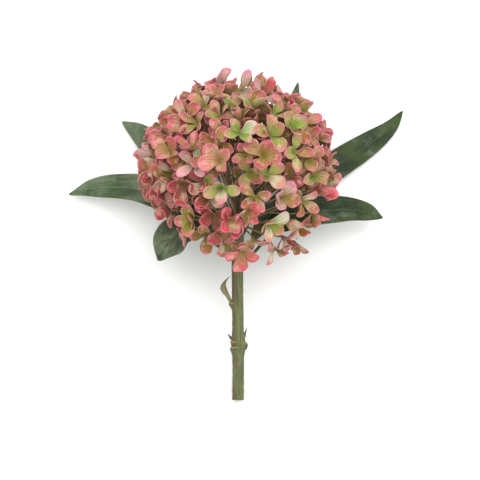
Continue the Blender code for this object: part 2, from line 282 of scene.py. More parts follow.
tree.links.new(ramp(tree, grain, 0.3, 0.8, 0.5, 0.74), shader.inputs["Roughness"])
add_relief(tree, shader, grain, 0.00035)

stem = place_piece("stem", ring_mesh(rings), bark, "bark", "main_stem")
marks = {name: [] for name in ("sunned", "cut", "pith", "scarred", "lipped")}
for index, vert in enumerate(stem.data.vertices):
    grown = lie.inverted() @ vert.co
    bearing = atan2(grown.z, grown.x)
    cork = 0.0
    lip = 0.0
    for scar_along, scar_bearing, proud, above, below, wide in scars:
        turn = degrees_apart(bearing, scar_bearing)
        round_share = exp(-(turn / (1.5 * wide)) ** 4)
        up = grown.y - scar_along
        cork = max(cork, round_share * exp(-((up - cork_above) / cork_width) ** 2))
        lip = max(lip, round_share * exp(-((up - lip_above) / lip_width) ** 2))
    toward_sun = 0.05 - (vert.co.x - cut_end.x) / (stem_diameter / 2)
    marks["sunned"].append(max(0, min(1, toward_sun)))
    marks["cut"].append(1.0 if index < 3 * stem_sides else 0.0)
    marks["pith"].append(1.0 if index < 2 * stem_sides else 0.0)
    marks["scarred"].append(0.85 * cork)
    marks["lipped"].append(0.8 * lip)
for name, values in marks.items():
    mark(stem, name, values)


# --- Buds and scale at the joint ----------------------------------------------------------------
# Two pointed buds and the dry scale of an old leaf, which grew on the swollen joint. Each is a
# small plump blade that hugs the bark, brown at its tip.

to_eye = Vector((0, 0, 1))


def smooth_route(points, count):
    """Evenly numbered points along a Catmull-Rom curve through the given ones."""
    ends = [2 * points[0] - points[1], *points, 2 * points[-1] - points[-2]]
    spans = len(points) - 1
    route = []
    for step in range(count):
        place = spans * step / (count - 1)
        span = min(int(place), spans - 1)
        t = place - span
        a, b, c, d = ends[span:span + 4]
        route.append(0.5 * (2 * b + (c - a) * t + (2 * a - 5 * b + 4 * c - d) * t ** 2
                            + (3 * b - a - 3 * c + d) * t ** 3))
    return route


def route_frames(route, up, roll=0.0):
    """Each point of a midrib with the direction across the blade there and out of its face."""
    frames = []
    last = len(route) - 1
    for index, centre in enumerate(route):
        heading = route[min(index + 1, last)] - route[max(index - 1, 0)]
        side = Matrix.Rotation(radians(roll), 3, heading) @ heading.cross(up).normalized()
        frames.append((centre, side, side.cross(heading).normalized()))
    return frames


root_depth = 0.0004


def rooted_midrib(bearing, along, straight, steps=()):
    """A midrib's foot just under the bark, and its first points: straight out, then by steps."""
    out = Vector((cos(radians(bearing)), 0, sin(radians(bearing))))
    foot = out * (bark_radius(along) - root_depth) + Vector((0, along, 0))
    return [foot, foot + out * straight] + [foot + Vector(step) * 0.001 for step in steps]


# width, degrees round the stem, place along it, and the midrib's steps from its foot in mm
bud_parts = (
    ("bud_left", 0.0018, 175, 0.0465, ((-1.1, 0.7, 0), (-2.1, 1.9, 0.2), (-3.1, 3.4, 0.4))),
    ("bud_right", 0.0018, 15, 0.0485, ((0.9, 1.0, 0), (1.6, 3.2, 0.2), (2.4, 6.3, 0.4))),
    ("bud_scale", 0.0028, 350, 0.0392, ((1.2, 0.6, 0), (2.0, 2.0, 0.1), (2.2, 3.6, 0.2))),
)
bud_root = 0.0008
bud_rings = 22
bud_sides = 14
bud_flatness = 0.8
bud_tip = 0.00012

for name, width, bearing, along, tip_route in bud_parts:
    midrib = rooted_midrib(bearing, along, bud_root, tip_route)
    rings = []
    for index, (centre, side, face) in enumerate(route_frames(smooth_route(midrib, bud_rings), to_eye)):
        share = index / (bud_rings - 1)
        half = width / 2 * (0.75 * (1 - share) ** 0.7 + 0.55 * sin(pi * share ** 0.8))
        half = max(half, bud_tip)
        turns = [2 * pi * k / bud_sides for k in range(bud_sides)]
        rings.append([centre + side * half * cos(turn) + face * half * bud_flatness * sin(turn)
                      for turn in turns])
    bud = place_piece(name + "_grown", ring_mesh(rings), bark, "bark", name)
    shares = [(i // bud_sides) / (bud_rings - 1) for i in range(len(bud.data.vertices))]
    mark(bud, "sunned", [0.35 + 0.6 * share for share in shares])
    mark(bud, "scarred", [0.25 + 0.4 * share for share in shares])
    for layer in ("cut", "pith", "lipped"):
        mark(bud, layer, [0.0] * len(shares))


# --- Leaves -------------------------------------------------------------------------------------
# Six lance-shaped leaves in three opposite pairs, close under the flower. Each is one blade with
# a grooved midrib and sunk side veins on top, standing proud below, on a short round stalk. The
# globe rests on three of them, so those lie flat on the table.

leaf_thickness = 0.0007
petiole_diameter = 0.0024
leaf_fullness = 0.8
leaf_fold = 0.16
petiole_root = 0.0045
petiole_flare = 0.003
groove_depth = 0.00030
groove_width = 0.0009
edge_wave = 0.0011
least_half = 0.0002
wave_from = 0.003
wave_full = 0.01
leaf_rows = 110
leaf_columns = 28

# width, where its belly lies, stalk length, degrees round the stem, drop below the boss, roll in
# degrees, finish, and the midrib's places across, beyond the boss and over the table, as
# percentages of the globe's radius
leaves = (
    ("leaf_left", 0.026, 0.8, 0.034, 180, 0.026, 12, "leaf_green",
     ((-32, -8, 50), (-61, 19, 40), (-91, 32, 31), (-120, 36, 23), (-149, 35, 15), (-172, 29, 8))),
    ("leaf_right", 0.023, 0.8, 0.042, 0, 0.026, -10, "leaf_dark",
     ((35, -11, 51), (67, 8, 43), (104, 13, 32), (128, 11, 25), (146.5, 5, 21))),
    ("leaf_upper_left", 0.025, 0.8, 0.034, 220, 0.019, 0, "leaf_green",
     ((-27, 12, 25), (-56, 44, 4), (-80, 72, 1.9), (-101, 92, 1.9), (-119, 104, 2.4))),
    ("leaf_upper_right", 0.022, 0.8, 0.036, 328, 0.019, 0, "leaf_dark",
     ((32, 6.7, 31), (67, 35, 4.3), (101, 59, 2.7), (133, 80, 2.1), (155, 97, 2.4), (169, 115, 3.2))),
    ("leaf_lower_left", 0.031, 1.3, 0.023, 148, 0.019, 20, "leaf_pale",
     ((-27, -9, 62), (-51, -8, 60), (-69, -20, 53), (-80, -38, 44))),
    ("leaf_back", 0.018, 0.8, 0.030, 277, 0.012, 0, "leaf_green",
     ((5, 8, 24), (17, 36, 3.5), (36, 73, 1.5), (54, 114, 1.5), (62, 145, 2.4))),
)

table_up = Vector((0, sin(tilt), cos(tilt)))


def height_on_table(point):
    return cut_height + point.dot(table_up)


def laid(across, along, height):
    """The point seen at (across, along) square on to the stem, at a height over the table."""
    toward = (height - cut_height - along * table_up.y) / table_up.z
    return Vector((across, along, toward))


def new_group(name, inputs, outputs):
    """An empty shader group. Inputs come with the values they start from, colours as tuples."""
    group = bpy.data.node_groups.new(name, "ShaderNodeTree")
    for label, value in inputs.items():
        kind = "NodeSocketColor" if isinstance(value, tuple) else "NodeSocketFloat"
        group.interface.new_socket(label, in_out="INPUT", socket_type=kind).default_value = value
    for label in outputs:
        kind = "NodeSocketColor" if label == "Colour" else "NodeSocketFloat"
        group.interface.new_socket(label, in_out="OUTPUT", socket_type=kind)
    given = group.nodes.new("NodeGroupInput").outputs
    result = group.nodes.new("NodeGroupOutput").inputs
    return group, given, result


# The blade's pattern: a midrib, side veins that sweep to the tip, and a fine net between them
leaf_group, given, result = new_group(
    "leaf blade",
    {"Along": 0.0, "Across": 0.0, "Under": 0.0, "Deep": (0, 0, 0, 1), "Light": (0, 0, 0, 1),
     "Vein": (0, 0, 0, 1), "Pairs": 9.0, "Side Veins": 0.5, "Vein Strength": 0.5, "Streaks": 0.7},
    ("Colour", "Height", "Gloss"))
tree = leaf_group
away = maths(tree, "ABSOLUTE", given["Across"])
wander = maths(tree, "MULTIPLY_ADD", grown_noise(tree, 90), 0.7, -0.35)
sweep = maths(tree, "MULTIPLY_ADD", maths(tree, "POWER", away, 1.3), -1.9,
              maths(tree, "MULTIPLY", given["Along"], given["Pairs"]))
side_vein = maths(tree, "PINGPONG", maths(tree, "ADD", sweep, wander), 0.5)
side_vein = ramp(tree, side_vein, 0.0, 0.13, 1, 0)
side_vein = maths(tree, "MULTIPLY", side_vein, ramp(tree, away, 0.55, 1.0, 1, 0.15))
midrib = ramp(tree, away, 0.015, 0.085, 1, 0)
veins = maths(tree, "MAXIMUM", midrib, maths(tree, "MULTIPLY", side_vein, given["Side Veins"]))
streak_place = add_node(tree, "ShaderNodeCombineXYZ",
                        {"X": maths(tree, "MULTIPLY", given["Across"], 7.0),
                         "Y": maths(tree, "MULTIPLY", given["Along"], 5.0)}).outputs[0]
streak = add_node(tree, "ShaderNodeTexNoise",
                  {"Vector": streak_place, "Scale": 1.6, "Detail": 4.0}).outputs[0]
spot = add_node(tree, "ShaderNodeTexCoord").outputs["Object"]
net = add_node(tree, "ShaderNodeTexVoronoi", {"Vector": spot, "Scale": 720.0},
               feature="DISTANCE_TO_EDGE").outputs["Distance"]
net = ramp(tree, net, 0.0, 0.10, 1, 0)
patchy = ramp(tree, grown_noise(tree, 60, 4), 0.3, 0.7)
smooth_share = maths(tree, "SUBTRACT", 1.0, given["Streaks"])
shade = maths(tree, "MULTIPLY_ADD", streak, given["Streaks"],
              maths(tree, "MULTIPLY", patchy, smooth_share))
shade = ramp(tree, shade, 0.29, 0.71)
blade = blend_colours(tree, shade, given["Deep"], given["Light"])
blade = stain(tree, net, 0.16, blade, given["Vein"])
blade = stain(tree, veins, given["Vein Strength"], blade, given["Vein"])
# Painted sheen: soft grey-white patches stand in for light glancing off the blade here and there
painted_sheen = maths(tree, "MULTIPLY", ramp(tree, grown_noise(tree, 130, 5), 0.42, 0.74),
              ramp(tree, grown_noise(tree, 28, 2), 0.42, 0.60))
blade = stain(tree, painted_sheen, 0.30, blade, srgb(150, 158, 148))
coloured = stain(tree, given["Under"], 0.45, blade, srgb(150, 166, 138))
stalk_end = ramp(tree, given["Along"], 0.14, 0.30, 0.85, 0)
coloured = blend_colours(tree, stalk_end, coloured, srgb(128, 106, 64))
margin = ramp(tree, away, 0.93, 1.0)
coloured = stain(tree, margin, 0.35, coloured, srgb(140, 150, 104))
tree.links.new(coloured, result["Colour"])
sunk = maths(tree, "MULTIPLY_ADD", veins, -1.0, maths(tree, "MULTIPLY", net, -0.25))
sunk = maths(tree, "MULTIPLY_ADD", streak, 1.2, sunk)
sunk = maths(tree, "MULTIPLY_ADD", grown_noise(tree, 1500, 2), 0.25, sunk)
tree.links.new(sunk, result["Height"])
tree.links.new(maths(tree, "MULTIPLY_ADD", patchy, 0.14, 0.42), result["Gloss"])


def leaf_material(name, deep, light, vein, pairs, side_veins, strength, streaks):
    material, tree, shader = new_material(name, 0.5)
    pattern = add_node(tree, "ShaderNodeGroup", {
        "Along": read_mark(tree, "along"), "Across": read_mark(tree, "across"),
        "Under": read_mark(tree, "under"), "Deep": deep, "Light": light, "Vein": vein,
        "Pairs": pairs, "Side Veins": side_veins, "Vein Strength": strength,
        "Streaks": streaks}, node_tree=leaf_group).outputs
    tree.links.new(pattern["Colour"], shader.inputs["Base Color"])
    tree.links.new(pattern["Gloss"], shader.inputs["Roughness"])
    shader.inputs["Specular IOR Level"].default_value = 0.32
    add_relief(tree, shader, pattern["Height"], 0.00025)
    return material


leaf_finishes = {
    "leaf_green": leaf_material("leaf_green", srgb(38, 60, 22), srgb(98, 114, 84),
                                srgb(122, 136, 102), 9.0, 0.30, 0.38, 0.7),
    "leaf_dark": leaf_material("leaf_dark", srgb(18, 34, 2), srgb(50, 68, 24),
                               srgb(86, 104, 58), 10.0, 0.38, 0.38, 0.6),
    "leaf_pale": leaf_material("leaf_pale", srgb(50, 60, 32), srgb(92, 104, 72),
                               srgb(40, 54, 30), 6.5, 0.85, 0.72, 0.15),
}


def blade_half(share, width, belly, neck_share, neck):
    """Half the blade's width at a share of its length."""
    if share < neck_share:
        return neck
    along_blade = (share - neck_share) / (1 - neck_share)
    swell = max(0, sin(pi * along_blade ** belly)) ** leaf_fullness
    return neck * (1 - 0.7 * along_blade) + width / 2 * swell


def blade_ring(centre, side, face, half, neck, thickness, wave):
    """One section of a leaf: across the top from edge to edge, then back along the underside."""
    flat = min(1, max(0, (half - neck) / (4 * neck)))
    deep = neck + (thickness / 2 - neck) * flat
    ring = []
    for column in range(2 * leaf_columns):
        angle = pi * column / leaf_columns
        out = cos(angle)
        rise = deep * sin(angle)
        rise += leaf_fold * half * abs(out) ** 1.5 * flat
        rise += wave * out * abs(out) * flat
        rise -= groove_depth * exp(-(out * half / groove_width) ** 2) * flat
        ring.append(centre + side * half * out + face * rise)
    return ring


for order, (name, width, belly, petiole, bearing, drop, roll, slot, places) in enumerate(leaves):
    midrib_points = rooted_midrib(bearing, stem_length - drop, petiole_root)
    size = head_radius / 100
    for across, beyond, height in places:
        midrib_points.append(laid(across * size, stem_length + beyond * size, height * size))
    route = smooth_route(midrib_points, leaf_rows)
    length = sum((after - before).length for before, after in zip(route, route[1:]))
    rings = []
    for index, (centre, side, face) in enumerate(route_frames(route, table_up, roll)):
        share = index / (leaf_rows - 1)
        neck = petiole_diameter / 2 * (1 + 0.7 * exp(-share * length / petiole_flare))
        half = blade_half(share, width, belly, petiole / length, petiole_diameter / 2)
        half = max(half, neck if share * length < petiole else least_half)
        lifted = min(1, max(0, (height_on_table(centre) - wave_from) / wave_full))
        wave = edge_wave * sin(share * 17 + order * 1.9) * (0.25 + 0.75 * lifted)
        rings.append(blade_ring(centre, side, face, half, neck, leaf_thickness, wave))
    leaf = place_piece(name + "_blade", ring_mesh(rings), leaf_finishes[slot], slot, name)
    sides = 2 * leaf_columns
    count = len(leaf.data.vertices)
    mark(leaf, "along", [(i // sides) / (leaf_rows - 1) for i in range(count)])
    mark(leaf, "across", [cos(pi * (i % sides) / leaf_columns) for i in range(count)])
    mark(leaf, "under", [1.0 if i % sides > leaf_columns else 0.0 for i in range(count)])


# --- Young leaf ---------------------------------------------------------------------------------
# One leaf that never opened, part way down the stem. It is rolled along its length like a claw,
# dull olive outside and reddish brown where its inner side shows.

young_along = 0.0725
young_half = 0.0015
young_foot = 0.0008
young_edge = 0.00015
young_thickness = 0.00042
foot_thickness = 0.0012
curl = 0.55
young_rings = 44
curl_columns = 20
young_steps = ((-2.1, 2.4, 0.4), (-4.2, 6.2, 0.8), (-6.5, 9.9, 1.1), (-7.1, 12.6, 1.3),
               (-6.0, 15.8, 1.5), (-4.1, 18.3, 1.6), (-2.0, 20.1, 1.4))

young, tree, shader = new_material("young_leaf", 0.55)
tone = grown_noise(tree, 260, 3)
outer = blend_colours(tree, tone, srgb(92, 96, 52), srgb(132, 130, 82))
inner = blend_colours(tree, tone, srgb(66, 44, 32), srgb(118, 82, 56))
tree.links.new(blend_colours(tree, read_mark(tree, "browned"), outer, inner),
               shader.inputs["Base Color"])
add_relief(tree, shader, grown_noise(tree, 700, 2, (1, 3, 1)), 0.0003)

rings = []
route = smooth_route(rooted_midrib(180, young_along, bud_root, young_steps), young_rings)
for index, (centre, side, face) in enumerate(route_frames(route, to_eye)):
    share = index / (young_rings - 1)
    half = young_half * (1 - share) ** 0.6 + young_half * exp(-((share - 0.56) / 0.18) ** 2)
    half += young_foot * exp(-(share / 0.06) ** 2)
    half = max(half, young_edge)
    ring = []
    for column in range(curl_columns):
        angle = 2 * pi * column / curl_columns
        out_by = cos(angle) * half
        rolled = curl * out_by * out_by / half * min(1, share * 4)
        thick = young_thickness + foot_thickness * exp(-(share / 0.08) ** 2)
        ring.append(centre + side * out_by + face * (thick * sin(angle) + rolled))
    rings.append(ring)
young_leaf = place_piece("young_leaf_curl", ring_mesh(rings), young, "young_leaf", "young_leaf")
browned = []
for index in range(len(young_leaf.data.vertices)):
    share = index // curl_columns / (young_rings - 1)
    toward_stem = cos(2 * pi * (index % curl_columns) / curl_columns)
    tip_brown = min(1, max(0, (share - 0.55) / 0.35))
    browned.append(min(1, max(0, (toward_stem - 0.45) / 0.4) + 0.7 * tip_brown))
mark(young_leaf, "browned", browned)


# --- Forked stalks ------------------------------------------------------------------------------
# The globe is a cyme: a thin stalk for each cluster grows out of the boss and forks into a finer
# one for each floret. All are round, green-brown and gently bowed, and thicken at both ends.

trunk_diameter = 0.0015
pedicel_diameter = 0.0010
eye_diameter = 0.0020
claw_depth = 0.06
proud_step = 0.0035
fork_share = 0.42
trunk_root = 0.0005
trunk_bow = 0.0006
pedicel_bow = 0.0012
eye_sink = 0.0004
eye_rise = 0.0003
stalk_rings = 13
stalk_sides = 8
boss = Vector((0, stem_length, 0))

# On the eye's side each floret has its own place, turn, size and colouring. Round the back they
# follow rows, and where the globe lies on its leaves they are pressed flat.
shell_share = 0.93
least_depth = 0.22
facing_share = 0.30
facing_fade = 0.45
underside_clearance = 0.0055
press_share = 0.92
sepal_reach = 0.0142
sepal_cup = 0.22

# each cluster's finish, and its florets: right and up as percentages of the globe's radius, turn
# in degrees, size in percent and colouring
front_clusters = (
    ("sepal_rose", ((-24, 74, 25, 100, "rose"), (-36, 72, 60, 90, "rose"), (-9, 64, 37, 95, "lime"),
                    (-19, 58, 10, 85, "green"))),
    ("sepal_rose", ((14, 65, 35, 95, "lime"), (4, 85, 60, 100, "pale"), (25, 79, 60, 100, "pale"))),
    ("sepal_pink", ((-43, 50, 50, 95, "rose"), (-54, 58, 20, 95, "pink"), (-57, 42, 70, 85, "red"))),
    ("sepal_pink", ((-72, 21, 55, 100, "cream"), (-76, 37, 5, 100, "pink"), (-50, 22, 60, 90, "pink"))),
    ("sepal_pink", ((-73, -6, 30, 100, "gold"), (-90, 6, 17, 95, "rose"), (-85, -12, 60, 92, "red"),
                    (-77, -22, 40, 90, "red"))),
    ("sepal_olive", ((-45, 5, 48, 100, "pale"), (-56, -15, 4, 90, "red"), (-38, -13, 30, 85, "red"))),
    ("sepal_pink", ((-18, 9, 28, 112, "cream"), (-21, 26, 70, 95, "gold"), (-14, 42, 40, 95, "rose"),
                    (2, 38, 29, 100, "lime"))),
    ("sepal_pink", ((25, 14, 68, 115, "pink"), (30, -6, 42, 95, "green"), (33, 36, 8, 100, "green"))),
    ("sepal_rose", ((49, 63, 30, 95, "rose"), (37, 61, 60, 85, "green"), (55, 43, 53, 105, "lime"))),
    ("sepal_pink", ((70, 51, 15, 95, "rose"), (70, 35, 40, 95, "pink"), (84, 34, 5, 90, "rose"))),
    ("sepal_green", ((58, 20, 0, 95, "green"), (73, 14, 33, 90, "rose"), (90, 13, 20, 85, "pink"),
                     (77, -6, 17, 95, "green"))),
    ("sepal_pink", ((64, -29, 45, 100, "olive"), (84, -24, -10, 95, "blush"), (78, -43, 39, 95, "blush"))),
    ("sepal_rose", ((18, -27, 28, 95, "rose"), (43, -27, 70, 105, "pale"))),
    ("sepal_green", ((50, -49, 35, 95, "green"), (31, -54, 55, 100, "green"), (66, -58, 7, 85, "gold"))),
    ("sepal_olive", ((50, -72, 20, 75, "red"), (40, -84, 50, 80, "red"), (63, -78, 10, 75, "gold"))),
    ("sepal_pink", ((3, -56, 60, 90, "blush"), (3, -81, -5, 108, "blush"))),
    ("sepal_green", ((-25, -45, 20, 95, "red"), (-17, -18, 8, 100, "lime"), (-31, -29, 50, 85, "red"))),
    ("sepal_olive", ((-47, -50, 85, 95, "olive"), (-31, -65, 5, 100, "gold"), (-71, -39, 30, 95, "red"))),
)
# degrees from the back pole, first and last bearing, florets in the row
underside_rows = ((100, 22, 158, 8), (74, -8, 188, 11), (47, 8, 172, 7), (20, 62, 118, 2))
underside_tones = ("olive", "rose", "pink", "green", "rose", "gold", "pale")


class Floret:
    """One floret: where it sits, which way it faces, its turn, its size and its colouring."""

    def __init__(self, centre, facing, spin, size, tone, outer=True):
        self.centre = centre
        self.facing = facing.normalized()
        self.spin = spin
        self.size = size
        self.tone = tone
        self.outer = outer
        self.direction = (centre - boss).normalized()
        self.edge_on = 1 - abs(self.facing.z)
        self.sunk = 0.0


def front_floret(right, up, spin, size, tone):
    x = right / 100
    y = up / 100
    depth = sqrt(max(least_depth ** 2, shell_share ** 2 - x * x - y * y))
    outward = Vector((x, y, depth))
    share = facing_share * (1 - facing_fade * (x * x + y * y))
    facing = outward.normalized() * (1 - share) + to_eye * share
    return Floret(head_centre + outward * head_radius, facing, spin, size, tone)


def underside_floret(polar, bearing, spin, tone):
    ring = sin(radians(polar))
    outward = Vector((ring * cos(radians(bearing)), ring * sin(radians(bearing)),
                      -cos(radians(polar))))
    centre = head_centre + outward * head_radius * shell_share
    lowest = underside_clearance + 2 * sepal_cup * sepal_reach
    squash = max(0.0, lowest - height_on_table(centre))
    return Floret(centre + table_up * squash, outward, spin, 100, tone)


clusters = [(slot, [front_floret(*places) for places in florets]) for slot, florets in front_clusters]
for polar, first, last, count in underside_rows:
    row = []
    for place in range(count):
        bearing = first + (last - first) * place / (count - 1)
        tone = underside_tones[(place + polar) % len(underside_tones)]
        row.append(underside_floret(polar, bearing, 37 * place + polar, tone))
    clusters += [("sepal_olive", row[start:start + 2]) for start in range(0, count, 2)]
florets = [floret for _, cluster in clusters for floret in cluster]

# More florets fill the gaps between these, some level with them and some deeper down. Each grows
# from the nearest stalk.
fill_tries = 1600
level_depth = (0.77, 0.91)
deep_depth = (0.62, 0.74)
fill_spacing = 0.0120
front_spacing = 0.0100
fill_sizes = (80, 94)
fill_tones = ("olive", "gold", "rose", "olive", "red", "green", "pink", "rose")
least_fill_height = 0.020
# in shares of the globe's radius: none grow below the bottom, and low down only on the left,
# since the globe stands open on the right
fill_bottom = -0.42
open_below = -0.12
open_right_of = -0.35
rolls = random.Random(31)
filled = []
for index in range(fill_tries):
    up = rolls.uniform(-1, 1)
    ring = sqrt(1 - up * up)
    bearing = rolls.uniform(0, 2 * pi)
    outward = Vector((ring * cos(bearing), up, ring * sin(bearing)))
    deep = deep_depth if index % 3 == 0 else level_depth
    centre = head_centre + outward * head_radius * rolls.uniform(*deep)
    spin = rolls.uniform(0, 90)
    tone = rolls.choice(fill_tones)
    size = rolls.uniform(*fill_sizes)
    if height_on_table(centre) < least_fill_height or outward.y < fill_bottom:
        continue
    if outward.y < open_below and outward.x > open_right_of:
        continue
    if min((centre - other.centre).length for other in florets) < front_spacing:
        continue
    if filled and min((centre - other.centre).length for other in filled) < fill_spacing:
        continue
    inner = Floret(centre, outward, spin, size, tone, outer=False)
    home = max(range(len(clusters)), key=lambda number: max(
        other.direction.dot(inner.direction) for other in clusters[number][1] if other.outer))
    clusters[home][1].append(inner)
    filled.append(inner)

# No two stand equally high, and those of the crown sit lowest
crown_rise = 2.2
crown_drop = (0.02, 0.13)
rolls = random.Random(12)
for floret in florets:
    crown = min(1, max(0, crown_rise * (floret.centre - head_centre).normalized().y))
    floret.sunk = crown * floret.edge_on * rolls.uniform(*crown_drop)

# A last few hang round the boss and hide it from the eye. The first number is their cluster.
for home, *places in ((15, -9, -49, 20, 90, "blush"), (15, 9, -40, 50, 90, "blush"),
                      (15, -13, -73, 10, 88, "olive"), (15, 16, -70, 70, 88, "rose"),
                      (17, -53, -61, 25, 86, "rose"), (15, -20, -60, 60, 88, "red")):
    hanging = front_floret(*places)
    hanging.outer = False
    clusters[home][1].append(hanging)


stalk, tree, shader = new_material("stalk", 0.6)
tint = grown_noise(tree, 140, 3)
stalk_colour = blend_colours(tree, tint, srgb(96, 84, 48), srgb(140, 122, 78))
flush = ramp(tree, grown_noise(tree, 60, 1), 0.45, 0.7)
stalk_colour = stain(tree, flush, 0.5, stalk_colour, srgb(150, 84, 66))
tree.links.new(stalk_colour, shader.inputs["Base Color"])
add_relief(tree, shader, grown_noise(tree, 2200, 1), 0.0001)


def pressed(point):
    """Keep a point over the leaves that the globe lies on, nearly flat where it would sink."""
    sunk = underside_clearance - height_on_table(point)
    return point + table_up * sunk * press_share if sunk > 0 else point


def oversize(floret):
    """0 for a floret of the usual size, 1 for the biggest, and less than 0 for a small one."""
    return (floret.size - 95) / 20 if floret.outer else 0


def seat_of(floret):
    """Where a floret's sepals meet: the biggest florets stand a little proud of the rest."""
    proud = proud_step * oversize(floret)
    inward = (head_centre - floret.centre) * (claw_depth + floret.sunk)
    return pressed(floret.centre + floret.facing * proud + inward)


def stalk_tube(bm, start, end, bow, wide, narrow):
    """A round stalk that bows sideways, flared at both ends."""
    run = end - start
    sideways = run.cross(to_eye).normalized()
    other = run.cross(sideways).normalized()
    rings = []
    for step in range(stalk_rings):
        share = step / (stalk_rings - 1)
        centre = start + run * share + sideways * bow * sin(pi * share)
        radius = (wide + (narrow - wide) * share) / 2
        radius *= 1 + 0.45 * exp(-share * 14) + 0.6 * exp(-(1 - share) * 14)
        turns = [2 * pi * k / stalk_sides for k in range(stalk_sides)]
        rings.append([centre + (sideways * cos(turn) + other * sin(turn)) * radius for turn in turns])
    tube = ring_mesh(rings)
    held = bpy.data.meshes.new("tube")
    tube.to_mesh(held)
    tube.free()
    bm.from_mesh(held)
    bpy.data.meshes.remove(held)


for number, (slot, cluster) in enumerate(clusters, 1):
    rolls = random.Random(400 + number)
    bm = bmesh.new()
    leader = cluster[0]
    start = boss + leader.direction * (boss_diameter / 2 - trunk_root)
    fork = start.lerp(leader.centre, fork_share)
    bow = rolls.uniform(-trunk_bow, trunk_bow)
    stalk_tube(bm, start, fork, bow, trunk_diameter, trunk_diameter)
    for floret in cluster:
        seat = seat_of(floret)
        bow = rolls.uniform(-pedicel_bow, pedicel_bow)
        stalk_tube(bm, fork, seat - floret.facing * eye_sink, bow,
                   pedicel_diameter * 1.2, pedicel_diameter)
        at = Matrix.Translation(seat + floret.facing * eye_rise)
        at = at @ floret.facing.to_track_quat("Z", "Y").to_matrix().to_4x4()
        bmesh.ops.create_uvsphere(bm, u_segments=12, v_segments=8, radius=eye_diameter / 2,
                                  matrix=at @ Matrix.Diagonal((1, 1, 0.85, 1)))
    place_piece(f"stalks_{number:02d}", bm, stalk, slot, f"floret_cluster_{number:02d}")


# --- Florets ------------------------------------------------------------------------------------
# Each floret is four papery, spoon-shaped sepals round a tiny bud. They fade from green to tan
# and blush pink to red at the rim, with fine veins that fan from the claw. Where florets crowd
# each other their sepals fold up, and some reach over their neighbours.

sepal_length = 0.0166
sepal_width = 0.0098
sepal_thickness = 0.00032
claw_share = 0.20
widest = 0.64
sepal_rows = 13
sepal_columns = 9
overlap_lift = 0.00035
edge_ripple = 0.0004
least_bend = 0.02
neighbour_cosine = 0.6
big_size = 105
big_fullness = 1.05
# how far a floret may lean: a big one, one of the shell, one in a gap, and more when edge on
big_lean = 0.08
outer_lean = 0.42
inner_lean = 0.55
edge_lean = 0.25
# drawn for each floret or sepal: shape and set (rise and bend in degrees), then tints
fullness_range = (0.70, 1.12)
turn_range = (-0.33, 0.33)
reach_range = (0.84, 1.08)
width_range = (0.84, 1.24)
rise_range = (8, 56)
bend_range = (-48, 22)
cup_range = (0.25, 0.70)
twist_range = (-0.36, 0.36)
blush_range = (-0.45, 0.45)
shade_range = (-0.10, 0.10)
warmth_range = (-0.04, 0.04)
stray_share = 0.22
faded_share = 0.07

# heart at the claw, body of the blade and rim, by colouring
tones = {
    "pink": ((140, 136, 44), (168, 128, 76), (190, 72, 97)),
    "rose": ((134, 134, 46), (164, 142, 78), (192, 87, 106)),
    "pale": ((142, 139, 84), (198, 162, 150), (201, 122, 141)),
    "cream": ((150, 140, 70), (190, 150, 110), (204, 100, 114)),
    "blush": ((150, 120, 60), (194, 98, 88), (206, 66, 92)),
    "red": ((99, 74, 30), (142, 70, 51), (169, 42, 61)),
    "olive": ((114, 118, 28), (142, 136, 52), (179, 86, 88)),
    "green": ((118, 138, 46), (148, 156, 68), (184, 112, 100)),
    "lime": ((108, 142, 38), (144, 168, 68), (182, 136, 110)),
    "white": ((125, 160, 63), (190, 200, 152), (211, 198, 186)),
    "gold": ((112, 97, 27), (141, 108, 36), (163, 74, 59)),
}
faded = (206, 192, 158)
# three front florets have one sepal that is nearly white
whitened_centres = [front_floret(right, up, 0, 0, "").centre
                    for right, up in ((2, 38), (31, -54), (-45, 5))]

sepal_group, given, result = new_group(
    "sepal flush",
    {"Along": 0.0, "Across": 0.0, "Heart": (0, 0, 0, 1), "Body": (0, 0, 0, 1),
     "Rim": (0, 0, 0, 1), "Rim Start": 0.5, "Heart End": 0.6, "Vein Strength": 0.2},
    ("Colour", "Height"))
tree = sepal_group
away = maths(tree, "ABSOLUTE", given["Across"])
cloud = grown_noise(tree, 230, 3)
drift = maths(tree, "MULTIPLY_ADD", cloud, 0.44, -0.22)
side_reach = maths(tree, "MULTIPLY_ADD", given["Along"], 0.56, 0.42)
outer = maths(tree, "MAXIMUM", maths(tree, "MULTIPLY", away, side_reach), given["Along"])
rim_mask = ramp(tree, maths(tree, "ADD", outer, drift), given["Rim Start"], 1.0)
band = maths(tree, "MULTIPLY_ADD", maths(tree, "POWER", away, 2.0), 0.30,
             maths(tree, "ADD", given["Along"], drift))
heart_mask = ramp(tree, band, 0.05, given["Heart End"], 1, 0)
streak = ramp(tree, grown_noise(tree, 170, 2), 0.50, 0.66)
streak = maths(tree, "MULTIPLY", streak, ramp(tree, given["Along"], 0.30, 0.55))
streak = maths(tree, "MULTIPLY", streak, ramp(tree, given["Along"], 0.80, 0.98, 1, 0))
fan = maths(tree, "MULTIPLY_ADD", given["Across"], 2.4,
            maths(tree, "MULTIPLY_ADD", grown_noise(tree, 420, 2), 0.9, -0.45))
vein = ramp(tree, maths(tree, "PINGPONG", fan, 0.5), 0.0, 0.17, 1, 0)
vein = maths(tree, "MULTIPLY", vein, ramp(tree, given["Along"], 0.55, 1.0, 1, 0.35))
hue = blend_colours(tree, rim_mask, given["Body"], given["Rim"])
hue = blend_colours(tree, heart_mask, hue, given["Heart"])
hue = stain(tree, streak, 0.45, hue, srgb(226, 184, 162))
# A pale line round each sepal's edge: partly the sepal's own paler margin, partly a painted highlight
# where its rim catches the light
edge = ramp(tree, maths(tree, "MAXIMUM", away, given["Along"]), 0.88, 0.96)
hue = stain(tree, edge, 0.30, hue, srgb(226, 170, 168))
vein_colour = blend_colours(tree, 1.0, hue, srgb(196, 140, 124), "MULTIPLY")
hue = stain(tree, vein, given["Vein Strength"], hue, vein_colour)
